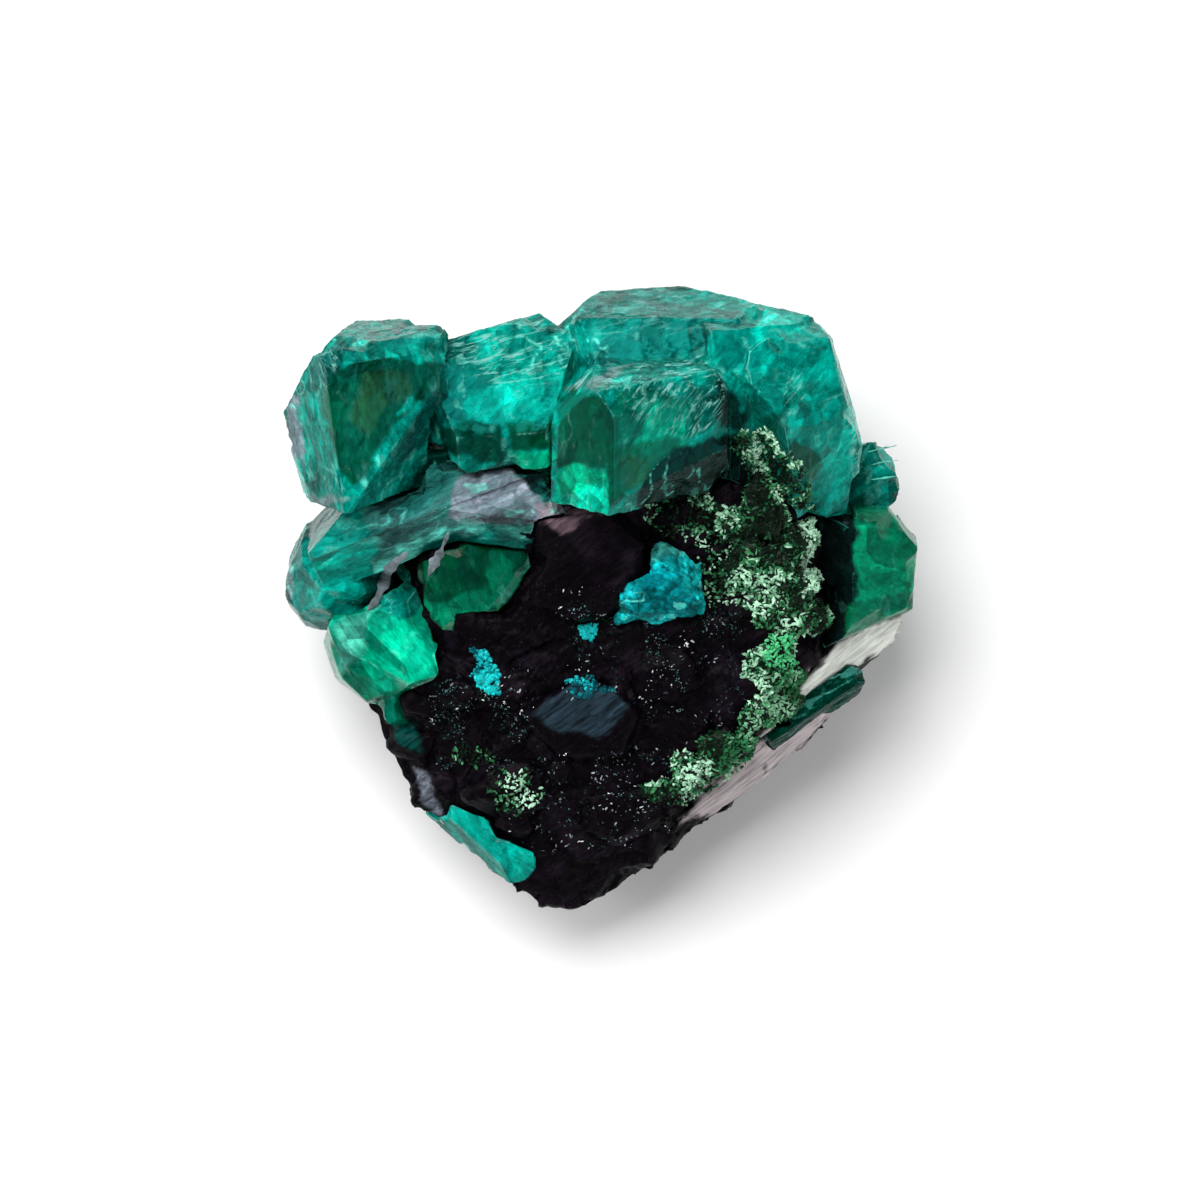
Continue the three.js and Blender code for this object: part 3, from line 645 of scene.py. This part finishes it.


# a crystal: rough faces broken in small plates that run along the axis, each with its own tilt and a
# lightness painted as if it caught the light differently, in the tones of the zones, with pale flecks and
# cracks, and edges painted pale as highlights
def growCrystal(name, pieceLook):
    look = {**crystalFaces, **pieceLook}
    seed = look["seed"]
    points, triangles, rim = roughCrystal(name, look)
    normals = cornerNormals(points, triangles)
    low, high = (tones[t] for t in look["tones"])
    tone = blend(low, high, ramp(layeredNoise(points, look["cloudSize"], seed + 30), *softSpan)[:, None])
    clear = look["clear"] + look["clearSpread"] * layeredNoise(points, look["clearSize"], seed + 35, 3)
    clear = np.clip(clear, look["leastClear"], 1)
    tone, clear, marks = paintZones(points, normals[:, 2], tone, clear, look["zones"], seed + 40)
    axis = np.array(look["axis"]) / np.linalg.norm(look["axis"])
    along = points - look["plateStretch"] * np.outer(points @ axis, axis)
    wobble = np.stack([softNoise(points, look["wobbleSize"], seed + 50 + k) for k in range(3)], 1)
    along = along + look["wobble"] * wobble
    plates, own = tiltedPlates(along, look["plateSize"], seed + 60)
    finePlates, fineOwn = tiltedPlates(along, look["fineSize"], seed + 70)
    broken = look["plates"] * (1 - look["clearPlates"] * clear)
    plates = look["plateTilt"] * plates + look["fineTilt"] * finePlates
    lift = broken * (plates + look["terraceRise"] * terraced(points, look)) - look["sink"]
    if "lumps" in look:
        nearest, _, lumpOwn = nearestGrain(points, look["lumps"], seed + 90)
        lift = lift + look["lumps"] * (look["lumpRise"] - look["lumpRound"] * nearest ** 2)
        tone = tone * (look["lumpLight"][0] + look["lumpLight"][1] * lumpOwn[:, :1])
    points = points + normals * lift[:, None]
    # painted sheen: each plate and fine plate is made lighter or darker as if it caught the light differently
    ownPaintedSheen = look["platePaintedSheen"] * (own[:, 1] - 0.5) + look["finePaintedSheen"] * (fineOwn[:, 1] - 0.5)
    tone = tone * (look["light"] + broken * ownPaintedSheen)[:, None]
    flecks = (fineOwn[:, 2] > look["fleckFrom"]) * broken ** 2 * look["fleckPale"]
    cracks = crackLines(points, along, look) * broken
    # painted highlights: the edges are painted pale in patches, mixed with the pale flecks and cracks
    rimHighlightPatches = ramp(layeredNoise(points, look["rimHighlightSize"], seed + 80, 3), *look["rimHighlightPatch"])
    pale = np.maximum(np.maximum(flecks, cracks), look["rimPaintedHighlight"] * rim * rimHighlightPatches)
    tone = blend(tone, tones["paleTeal"], pale[:, None])
    clear = clear * (1 - pale)
    tone = tone ** (1 - look["tintLoss"] * clear[:, None])  # what is seen through is tinted less at each face
    piece = makePiece(name.replace("dioptase", "crystals"), points, triangles,
                      crystalMaterial(name + "_green", look["streakTurn"]),
                      {"tone": tone, "clear": clear, **marks})
    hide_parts(name)
    return points, triangles


# the rock: near-black and dull, with smooth faces and pale broken ledges. plates: size in mm, step of
# the seed, and tilt
rockLook = {
    "edge": 0.31, "seed": 71, "rounds": 1, "plates": [(3.6, 15, 0.3), (1.5, 0, 0.35), (0.55, 9, 0.4)],
    "roughness": 0.16, "roughSize": 2.4, "swell": 0.14, "footFade": (0.2, 1.6),
    "cloudSize": 1.8, "cloudFrom": (0.05, 0.4), "smoothBlur": 0.2,
    "smooth": [
        (0.9, [(535, 512), (612, 512), (645, 540), (602, 600), (545, 600)]),
        (0.6, [(533, 712), (575, 690), (622, 694), (642, 712), (612, 748), (556, 754)]),
        (0.85, [(922, 600), (840, 640), (790, 695), (790, 722), (836, 694), (905, 645)]),
        (0.85, [(850, 688), (764, 732), (690, 815), (722, 818), (815, 740)]),
    ],
    "zones": [
        ("slate", 0, 0.9, [(537, 716), (566, 688), (610, 691), (638, 704), (617, 722), (595, 736),
                           (562, 734)]),
        ("ash", 0.8, 1.0, [(924, 600), (868, 630), (840, 648), (862, 668), (907, 642)]),
        ("ash", 0.8, 1.0, [(850, 640), (819, 665), (795, 693), (790, 720), (836, 694), (866, 661)]),
        ("pinkAsh", 0.7, 0.9, [(852, 688), (819, 710), (764, 735), (764, 786), (817, 740)]),
        ("pinkAsh", 0.7, 0.8, [(770, 732), (722, 778), (685, 818), (724, 818), (768, 784)]),
        ("pinkRock", 0.5, 0.5, [(535, 515), (600, 504), (608, 513), (562, 532)]),
        ("lilac", 0, 0.8, [(403, 755), (428, 772), (440, 815), (420, 808)]),
        ("deepTeal", 0, 0.6, [(388, 722), (412, 722), (420, 752), (396, 745)]),
    ],
}
rockFinish = {
    "grainScale": 2200.0, "gloss": (0.6, 0.3), "bumpStrength": 0.4, "bumpDepth": 0.0001, "specular": 0.04,
    "streakScale": (420, 5200, 2600), "streakTurn": 36, "streakLight": (0.35, 1.65),
    "plainLight": (1.0, 0.25), "speckScale": 5200.0, "speckFrom": (0.64, 0.72), "speckMost": 0.5,
    "speckColour": (0.05, 0.045, 0.06, 1.0),
}
grainSpread = (0.3, 0.7)


# tones from the mesh, streaked and specked where the rock isn't plain
def rockMaterial():
    look = rockFinish
    material, shader = newMaterial("dark_rock")
    place = objectPlace(material)
    mottled = remap(material, fromMesh(material, "plain"), fullSpan, look["plainLight"])
    grain = noiseFactor(material, place, look["grainScale"], detail=6.0, roughness=0.7)
    lines = stretched(material, place, look["streakScale"], (0, 0, look["streakTurn"]))
    streaks = remap(material, noiseFactor(material, lines, 1.0), noiseSpread, look["streakLight"])
    colour = mixColour(material, mottled, fromMesh(material, "tone", "Color"), streaks, "MULTIPLY")
    speckNoise = noiseFactor(material, place, look["speckScale"], detail=3.0, roughness=0.7)
    specks = multiply(material, mottled,
                      remap(material, speckNoise, look["speckFrom"], (0.0, look["speckMost"])))
    colour = mixColour(material, specks, colour, look["speckColour"])
    bump = addNode(material, "ShaderNodeBump",
                   {"Height": grain, "Strength": look["bumpStrength"], "Distance": look["bumpDepth"]})
    feed(material, shader, Base_Color=colour, Roughness=remap(material, grain, grainSpread, look["gloss"]),
         Normal=bump.outputs["Normal"])
    shader.inputs["Specular IOR Level"].default_value = look["specular"]
    return material


# the CAD rock split fine and broken in tilted plates of three sizes, less on its smooth faces and at its foot
def breakRock():
    look = rockLook
    seed = look["seed"]
    points, triangles = splitLong(*readNode("matrix"), look["edge"])
    points = roundEdges(points, triangles, look["rounds"])
    normals = cornerNormals(points, triangles)
    smooth = np.zeros(len(points))
    for amount, outline in look["smooth"]:
        inside = insideOutline(points, outline, look["smoothBlur"], 0)
        smooth = np.maximum(smooth, amount * inside * (normals[:, 2] > 0))
    lift = sum(tilt * tiltedPlates(points, size, seed + step)[0] for size, step, tilt in look["plates"])
    lift = lift + look["roughness"] * layeredNoise(points, look["roughSize"], seed + 20)
    lift = (lift * (1 - smooth) + look["swell"]) * ramp(points[:, 2], *look["footFade"])
    points = points + normals * lift[:, None]
    points[:, 2] = np.maximum(points[:, 2], 0)
    normals = cornerNormals(points, triangles)
    cloud = ramp(layeredNoise(points, look["cloudSize"], seed + 30), *look["cloudFrom"])[:, None]
    tone, plain, _ = paintZones(points, normals[:, 2], blend(tones["rock"], tones["rockLight"], cloud),
                                np.zeros(len(points)), look["zones"], seed + 40)
    piece = makePiece("matrix_rock", points, triangles, rockMaterial(), {"tone": tone, "plain": plain})
    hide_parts("matrix")
    return points, triangles


# grains of the crust, and loose grains on the rock or a crystal: lengths in mm, widths as shares of the
# length, how far they lean, their tones, and for loose grains the outlines they lie in and how many there
crustLook = {
    "edge": 0.36, "rounds": 3, "swell": 0.25, "swellSize": 0.8, "grains": 7000, "lengths": (0.22, 0.7),
    "widths": (0.18, 0.36), "lean": 1.0, "seed": 83, "tones": ("shadeLeaf", "leaf", "mint"),
    "zones": [
        ("mint", 0, 0.75, [(797, 508), (813, 505), (822, 580), (806, 590)]),
        ("mint", 0, 0.6, [(742, 442), (760, 440), (785, 465), (775, 475)]),
        ("spring", 0, 0.9, [(760, 636), (790, 634), (792, 664), (764, 668)]),
        ("leaf", 0, 0.6, [(802, 666), (800, 735), (740, 780), (650, 830), (640, 800), (740, 715),
                          (762, 668)]),
        # painted shade: two dark spots on the crust
        ("shadeLeaf", 0, 0.9, [(757, 512), (785, 510), (790, 535), (760, 540)]),
        ("shadeLeaf", 0, 0.9, [(716, 535), (738, 535), (738, 565), (718, 565)]),
    ],
}
looseGrains = {
    "malachite_patches": {
        "slot": "malachite", "lengths": (0.2, 0.55), "widths": (0.25, 0.45), "lean": 0.9, "seed": 91,
        "tones": ("shadeLeaf", "leaf", "mint"),
        "outlines": [([(484, 772), (530, 770), (545, 800), (520, 820), (492, 812)], 220),
                     ([(650, 790), (690, 760), (760, 740), (740, 770), (680, 812)], 320),
                     ([(440, 752), (475, 745), (500, 762), (460, 770)], 80),
                     ([(640, 505), (700, 478), (722, 520), (700, 545), (655, 530)], 240),
                     ([(690, 520), (745, 512), (748, 600), (705, 612), (698, 570)], 300)],
    },
    "malachite_tip": {
        "on": "dioptase_crown", "slot": "malachite", "lengths": (0.25, 0.6), "widths": (0.2, 0.4),
        "lean": 0.8, "seed": 93, "tones": ("shadeLeaf", "leaf", "mint"),
        "outlines": [([(732, 446), (748, 430), (768, 432), (806, 476), (812, 508), (760, 505)], 900)],
    },
    "teal_dust": {
        "slot": "rock", "lengths": (0.06, 0.24), "widths": (0.2, 0.5), "lean": 3.0, "seed": 95,
        "patchy": -0.05, "tones": ("forest", "greyTeal", "grey"),
        "outlines": [([(425, 680), (520, 690), (540, 770), (440, 770)], 420),
                     ([(570, 600), (612, 600), (618, 680), (575, 690)], 220),
                     ([(640, 610), (740, 600), (745, 700), (650, 720)], 300),
                     ([(520, 760), (690, 740), (650, 840), (540, 850)], 260)],
    },
    "blue_specks": {
        "slot": "malachite", "lengths": (0.18, 0.42), "widths": (0.5, 0.8), "lean": 0.9, "seed": 97,
        "tones": ("deepBlue", "blue", "cyan"),
        "outlines": [([(472, 648), (488, 646), (503, 672), (500, 694), (486, 690), (472, 664)], 300),
                     ([(582, 628), (597, 626), (598, 642), (584, 642)], 90),
                     ([(566, 678), (594, 678), (612, 690), (596, 696), (568, 694)], 200)],
    },
    # flakes on the rock whose palest tone is painted glints
    "rock_flakes_painted_glints": {
        "slot": "rock", "lengths": (0.08, 0.36), "widths": (0.18, 0.36), "lean": 3.0, "seed": 101,
        "patchy": 0.0, "tones": ("slate", "grey", "paintedGlintWhite"),
        "outlines": [([(640, 620), (740, 620), (750, 720), (640, 740)], 150),
                     ([(560, 590), (620, 590), (620, 700), (560, 700)], 110),
                     ([(430, 640), (530, 640), (540, 760), (430, 740)], 110),
                     ([(480, 750), (720, 750), (660, 850), (520, 860)], 170)],
    },
}
looseEdge = {"blur": 0.1, "raggedness": 0.8, "ragSize": 1.2, "patchSize": 1.5}
grainLight = {"patchSize": 1.3, "patches": 1.3, "spread": 0.16, "middle": (-0.2, 0.1), "pale": (0.05, 0.45)}
grainFinish = {"scale": 5200.0, "light": (0.7, 1.3), "gloss": (0.5, 0.3), "bumpStrength": 0.4,
               "bumpDepth": 0.00005, "specular": 0.12}


# tones from the mesh, finely mottled
def grainMaterial(name):
    look = grainFinish
    material, shader = newMaterial(name)
    grain = noiseFactor(material, objectPlace(material), look["scale"])
    colour = mixColour(material, 1.0, fromMesh(material, "tone", "Color"),
                       remap(material, grain, grainSpread, look["light"]), "MULTIPLY")
    bump = addNode(material, "ShaderNodeBump",
                   {"Height": grain, "Strength": look["bumpStrength"], "Distance": look["bumpDepth"]})
    feed(material, shader, Base_Color=colour, Roughness=remap(material, grain, grainSpread, look["gloss"]),
         Normal=bump.outputs["Normal"])
    shader.inputs["Specular IOR Level"].default_value = look["specular"]
    return material


# a grain: a five-sided column with a point at each end, one unit long along its own axis
def grainShape(sides=5, shoulder=0.24):
    turn = np.arange(sides) * 2 * math.pi / sides
    ring = np.stack([np.cos(turn), np.sin(turn)], 1) * 0.5
    points = np.concatenate([
        [[0, 0, 0.5]], np.c_[ring, np.full(sides, shoulder)],
        np.c_[ring, np.full(sides, -shoulder)], [[0, 0, -0.5]],
    ])
    k = np.arange(sides)
    n = (k + 1) % sides
    top, bottom = 1 + k, 1 + sides + k
    topNext, bottomNext = 1 + n, 1 + sides + n
    first, last = np.zeros(sides, int), np.full(sides, 2 * sides + 1)
    triangles = np.concatenate([
        np.stack([first, top, topNext], 1), np.stack([top, bottom, bottomNext], 1),
        np.stack([top, bottomNext, topNext], 1), np.stack([last, bottomNext, bottom], 1),
    ])
    return points, triangles


# grains on a surface: each copy of the shape is turned to its own axis, scaled and moved to its place
def spreadGrains(places, axes, lengths, widths):
    shape, faces = grainShape()
    axes = unit(axes)
    nearlyUpright = 0.9
    helper = np.where(np.abs(axes[:, 2:]) < nearlyUpright, [[0.0, 0, 1]], [[1.0, 0, 0]])
    side = unit(np.cross(axes, helper))
    other = np.cross(axes, side)
    points = (places[:, None] + shape[None, :, :1] * (side * widths[:, None])[:, None]
              + shape[None, :, 1:2] * (other * widths[:, None])[:, None]
              + shape[None, :, 2:] * (axes * lengths[:, None])[:, None])
    triangles = faces[None] + (np.arange(len(places)) * len(shape))[:, None, None]
    return points.reshape(-1, 3), triangles.reshape(-1, 3)


# points spread over a surface by area, with the surface's normals there
def scatterOn(points, triangles, count, random):
    flat = faceNormals(points, triangles)
    area = np.linalg.norm(flat, axis=1)
    chosen = random.choice(len(triangles), count, p=area / area.sum())
    u, v = random.random((2, count, 1))
    u, v = np.where(u + v > 1, 1 - u, u), np.where(u + v > 1, 1 - v, v)
    a, b, c = (points[triangles[chosen, k]] for k in range(3))
    return a * (1 - u - v) + b * u + c * v, unit(flat[chosen])


# the grains' sizes, turned by chance round the surface's normal, and their tones in light and dark patches
def sowGrains(place, up, look, random):
    lengths = random.uniform(*look["lengths"], len(place))
    widths = lengths * random.uniform(*look["widths"], len(place))
    axes = up + random.normal(0, look["lean"], (len(place), 3))
    grains, faces = spreadGrains(place, axes, lengths, widths)
    patches = grainLight["patches"] * layeredNoise(place, grainLight["patchSize"], look["seed"] + 5, 3)
    light = (patches + random.normal(0, grainLight["spread"], len(place)))[:, None]
    dark, middle, pale = (tones[t] for t in look["tones"])
    tone = blend(dark, middle, ramp(light, *grainLight["middle"]))
    tone = blend(tone, pale, ramp(light, *grainLight["pale"]))
    return grains, faces, tone


# a tone for each grain, given to all its corners
def toCorners(tone, grains):
    return np.repeat(tone, len(grains) // len(tone), axis=0)


# the CAD crust, uneven and painted dark as shade between the grains that stand on it
def growCrust():
    look = crustLook
    seed = look["seed"]
    points, triangles = splitLong(*readNode("malachite_crust"), look["edge"])
    points = roundEdges(points, triangles, look["rounds"])
    swell = look["swell"] * layeredNoise(points, look["swellSize"], seed, 3)
    points = points + cornerNormals(points, triangles) * swell[:, None]
    # painted shade: the crust under the grains takes the dark shadeLeaf tone
    base = np.tile(tones["shadeLeaf"], (len(points), 1))
    random = np.random.default_rng(seed)
    place, up = scatterOn(points, triangles, look["grains"], random)
    grains, faces, tone = sowGrains(place, up, look, random)
    count = len(place)
    tone, _, _ = paintZones(place, np.ones(count), tone, np.zeros(count), look["zones"], seed + 7)
    piece = makePiece("malachite_grains", np.concatenate([points, grains]),
                      np.concatenate([triangles, faces + len(points)]), grainMaterial("malachite_green"),
                      {"tone": np.concatenate([base, toCorners(tone, grains)])}, smooth=False)
    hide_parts("malachite_crust")
    return points


# loose grains lie on the upper side of the rock or of a crystal, inside their outlines; patchy ones only
# where a noise is above the given level
def sowLoose(name, look, points, triangles):
    random = np.random.default_rng(look["seed"])
    upward = triangles[faceNormals(points, triangles)[:, 2] > 0]
    middle = points[upward].mean(axis=1)
    push = looseEdge["raggedness"] * layeredNoise(middle, looseEdge["ragSize"], look["seed"], 3)
    patch = layeredNoise(middle, looseEdge["patchSize"], look["seed"] + 2, 2) > look.get("patchy", -1)
    places, ups = [], []
    for outline, count in look["outlines"]:
        inside = (insideOutline(middle, outline, looseEdge["blur"], push) > 0.5) & patch
        place, up = scatterOn(points, upward[inside], count, random)
        places.append(place)
        ups.append(up)
    grains, faces, tone = sowGrains(np.concatenate(places), np.concatenate(ups), look, random)
    piece = makePiece(name, grains, faces, grainMaterial(name + "_finish"), {"tone": toCorners(tone, grains)},
                      smooth=False)


# pale broken strips: the path on the picture, the width in mm and the tone
paleStrips = {
    "hanging_left": ([(408, 553), (390, 571), (382, 590), (369, 613)], 0.8, "grey"),
    "hanging_right": ([(450, 533), (438, 560), (427, 581)], 0.55, "grey"),
    "line_high": ([(868, 453), (884, 449), (898, 446)], 0.14, "paleTeal"),
    "line_middle": ([(868, 467), (884, 463), (899, 461)], 0.14, "paleTeal"),
    "line_low": ([(870, 481), (884, 479), (896, 477)], 0.14, "paleTeal"),
}
stripLook = {"sides": 6, "thickness": 0.32, "steps": 12, "waver": 0.1, "waverSize": 0.7, "reach": 0.3,
             "margin": 1.0, "levelOver": 7, "tip": 0.06, "tipPower": 0.5, "width": 0.75, "uneven": 0.7,
             "unevenSize": 0.45, "light": (0.4, 0.6), "lightSize": 0.8}


# the height of the highest surface near each point of a line, evened out along it
def heightUnder(line, surface):
    low, high = line.min(0) - stripLook["margin"], line.max(0) + stripLook["margin"]
    near = surface[np.all((surface[:, :2] > low) & (surface[:, :2] < high), axis=1)]
    gaps = np.linalg.norm(near[None, :, :2] - line[:, None], axis=2)
    highest = np.max(np.where(gaps < stripLook["reach"], near[None, :, 2], 0), axis=1)
    height = np.maximum(highest, near[gaps.argmin(axis=1), 2])
    window = np.ones(stripLook["levelOver"]) / stripLook["levelOver"]
    return np.convolve(np.pad(height, stripLook["levelOver"] // 2, mode="edge"), window, mode="valid")


# a strip: a flat six-sided tube along a path that lies on the highest surface under it, of uneven width,
# narrowing to both ends
def layStrip(path, width, surface):
    look = stripLook
    corners = fromPicture(path)
    share = np.linspace(0, len(corners) - 1, look["steps"] * len(corners))
    line = np.stack([np.interp(share, np.arange(len(corners)), corners[:, k]) for k in range(2)], 1)
    waver = [softNoise(np.c_[line, line[:, :1]], look["waverSize"], 5 + k) for k in range(2)]
    line += look["waver"] * width * np.stack(waver, 1)
    along = unit(np.gradient(line, axis=0))
    side = np.stack([-along[:, 1], along[:, 0]], 1)
    taper = np.sin(np.linspace(look["tip"], math.pi - look["tip"], len(line))) ** look["tipPower"]
    uneven = softNoise(np.c_[line, line[:, :1]], look["unevenSize"], 9)
    taper = taper * (look["width"] + look["uneven"] * uneven)
    count = look["sides"]
    turn = np.arange(count) * 2 * math.pi / count
    across = (np.cos(turn) * 0.5 * width)[None, :, None] * (taper[:, None] * side)[:, None]
    rise = (np.sin(turn) * 0.5 * look["thickness"] * width)[None] * taper[:, None]
    rise = rise + heightUnder(line, surface)[:, None]
    rings = np.concatenate([line[:, None] + across, rise[:, :, None]], axis=2)
    k = np.arange(len(line) - 1)[:, None] * count
    j = np.arange(count)[None]
    n = (j + 1) % count
    sides = np.stack([np.stack([k + j, k + n, k + count + n], -1),
                      np.stack([k + j, k + count + n, k + count + j], -1)])
    fan = np.stack([np.zeros(count - 2, int), np.arange(2, count), np.arange(1, count - 1)], 1)
    ends = np.concatenate([fan, fan[:, ::-1] + (len(line) - 1) * count])
    return rings.reshape(-1, 3), np.concatenate([sides.reshape(-1, 3), ends])


# all the strips in one piece, each with lighter and darker stretches
def layStrips(surface):
    points, triangles, tone = [], [], []
    least, more = stripLook["light"]
    for path, width, label in paleStrips.values():
        stripPoints, stripTriangles = layStrip(path, width, surface)
        triangles.append(stripTriangles + sum(len(part) for part in points))
        points.append(stripPoints)
        fade = ramp(layeredNoise(stripPoints, stripLook["lightSize"], 3, 3), *softSpan)[:, None]
        tone.append(tones[label] * (least + more * fade))
    piece = makePiece("pale_strips", np.concatenate(points), np.concatenate(triangles),
                      grainMaterial("pale_broken_edge"), {"tone": np.concatenate(tone)}, smooth=False)


# the studio: a pale floor, soft lamps and a long lens straight above. lamps: place and width in m, watts.
# roomFades: the room's light from one height or depth to another, a dim ceiling and a dimmer far wall
studio = {
    "floorSize": 3.0, "floorDrop": 0.0002, "floorColour": (0.93, 0.93, 0.93, 1), "floorRoughness": 0.9,
    "lensMm": 400.0, "sensorMm": 36.0, "viewMm": 72.0, "focusHeightMm": 11.0, "clip": (0.01, 10),
    "roomFades": {"Z": ((0.35, 0.85), (0.72, 0.06)), "Y": ((-0.5, 0.7), (0.85, 0.65))},
    "lamps": {
        "key_lamp": ((-0.16, 0.36, 0.56), 0.5, 6.0),
        "left_lamp": ((-0.5, 0.1, 0.4), 0.34, 1.4),
        "fill_lamp": ((0.42, -0.36, 0.5), 0.5, 1.6),
    },
    "lampsAim": (0, 0, 0.01),
}


def layFloor():
    half = studio["floorSize"] / 2
    corners = [(-half, -half, 0), (half, -half, 0), (half, half, 0), (-half, half, 0)]
    mesh = bpy.data.meshes.new("floor")
    mesh.from_pydata(corners, [], [(0, 1, 2, 3)])
    material, shader = newMaterial("pale_floor")
    shader.inputs["Base Color"].default_value = studio["floorColour"]
    shader.inputs["Roughness"].default_value = studio["floorRoughness"]
    mesh.materials.append(material)
    floor = bpy.data.objects.new("floor", mesh)
    floor.location.z = -studio["floorDrop"]
    bpy.context.scene.collection.objects.link(floor)


def softLamp(name, place, size, watts):
    data = bpy.data.lights.new(name, "AREA")
    data.shape = "SQUARE"
    data.size = size
    data.energy = watts
    lamp = bpy.data.objects.new(name, data)
    lamp.location = place
    lamp.rotation_euler = (Vector(studio["lampsAim"]) - lamp.location).to_track_quat("-Z", "Y").to_euler()
    bpy.context.scene.collection.objects.link(lamp)


# white light from all round, fading by the way it comes from
def lightRoom():
    world = bpy.data.worlds.new("soft_room")
    world.use_nodes = True
    place = addNode(world, "ShaderNodeTexCoord").outputs["Generated"]
    way = addNode(world, "ShaderNodeSeparateXYZ", {0: place})
    fades = [
        addNode(world, "ShaderNodeMapRange",
                {"Value": way.outputs[side], "From Min": span[0], "From Max": span[1],
                 "To Min": light[0], "To Max": light[1]}, interpolation_type="SMOOTHSTEP").outputs["Result"]
        for side, (span, light) in studio["roomFades"].items()
    ]
    background = world.node_tree.nodes["Background"]
    background.inputs["Color"].default_value = (1, 1, 1, 1)
    world.node_tree.links.new(multiply(world, *fades), background.inputs["Strength"])
    bpy.context.scene.world = world


def setCamera():
    scene = bpy.context.scene
    data = bpy.data.cameras.new("camera")
    data.lens = studio["lensMm"]
    data.sensor_width = studio["sensorMm"]
    data.clip_start, data.clip_end = studio["clip"]
    camera = bpy.data.objects.new("camera", data)
    distance = studio["viewMm"] * studio["lensMm"] / studio["sensorMm"] + studio["focusHeightMm"]
    camera.location = (0, 0, distance * millimetre)
    scene.collection.objects.link(camera)
    scene.camera = camera
    scene.view_settings.view_transform = "Standard"
    scene.view_settings.look = "None"


carriers = {"matrix": breakRock()}
crustPoints = growCrust()
for nodeName, crystalLook in crystalPieces.items():
    carriers[nodeName] = growCrystal(nodeName, crystalLook)
for pieceName, grainLook in looseGrains.items():
    sowLoose(pieceName, grainLook, *carriers[grainLook.get("on", "matrix")])
layStrips(np.concatenate([crustPoints] + [points for points, _ in carriers.values()]))
layFloor()
for lampName, lampLook in studio["lamps"].items():
    softLamp(lampName, *lampLook)
lightRoom()
setCamera()
print("studio set")
